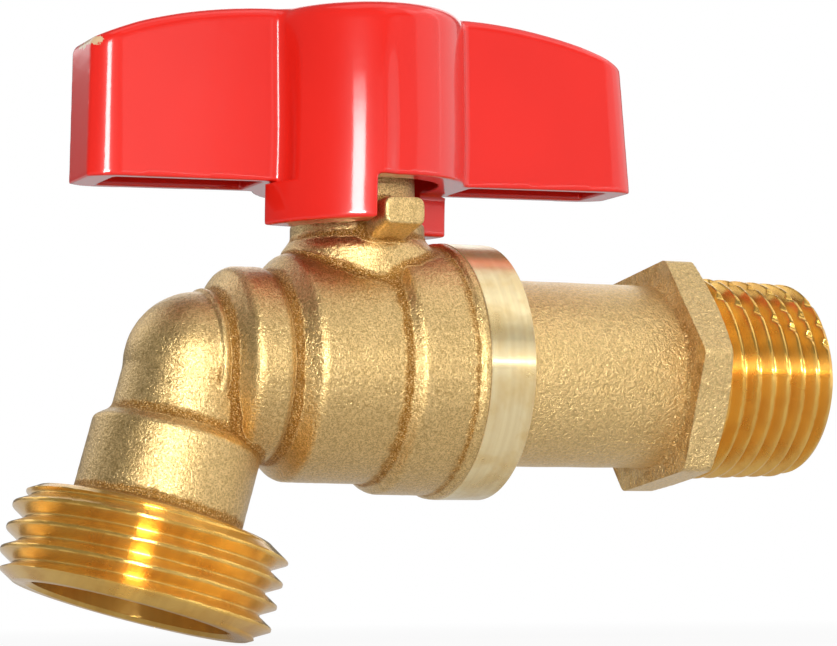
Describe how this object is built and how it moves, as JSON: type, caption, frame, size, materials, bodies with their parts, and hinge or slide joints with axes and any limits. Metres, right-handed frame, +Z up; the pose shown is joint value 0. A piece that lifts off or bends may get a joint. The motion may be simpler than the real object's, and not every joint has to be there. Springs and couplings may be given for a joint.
{
  "type": "hose bib",
  "caption": "Quarter-turn ball valve hose bib with a down-turned hose outlet, a male pipe inlet with a hex and a two-winged lever handle.",
  "frame": {"origin": "centre of the inlet mouth, on the pipe axis", "axes": "+X out of the inlet along the pipe axis, towards the supply pipe; +Z up along the stem"},
  "size_m": [0.0861, 0.027, 0.0627],
  "materials": {
    "cast_brass": "sand-cast satin, machined threads",
    "machined_brass": "turned",
    "chromed_ball": "polished",
    "seat_plastic": "smooth white fluoropolymer",
    "seal_rubber": "smooth black",
    "red_enamel": "glossy",
    "plated_steel": "zinc plated"
  },
  "bodies": {
    "valve": {"valve_body": "cast_brass", "inlet_adapter": "cast_brass", "adapter_o_ring": "seal_rubber", "seat_outlet": "seat_plastic", "seat_inlet": "seat_plastic", "stem_thrust_washer": "seat_plastic", "packing_ring_lower": "seat_plastic", "packing_ring_upper": "seat_plastic", "gland_ring": "machined_brass", "packing_nut": "machined_brass"},
    "handle_and_stem": {"handle": "red_enamel", "stem": "machined_brass", "stem_o_ring": "seal_rubber", "handle_lock_washer": "plated_steel", "handle_screw": "plated_steel"},
    "ball": {"ball": "chromed_ball"}
  },
  "joints": [
    {"name": "handle_turn", "type": "hinge", "parent": "valve", "child": "handle_and_stem", "pos_m": [-0.0497, 0, 0.02], "axis": [0, 0, -1], "range_deg": [0, 90]},
    {"name": "ball_turn", "type": "hinge", "parent": "valve", "child": "ball", "pos_m": [-0.0497, 0, 0], "axis": [0, 0, -1], "range_deg": [0, 90]}
  ],
  "couplings": [
    {"joint": "ball_turn", "follows": "handle_turn", "ratio": 1}
  ]
}
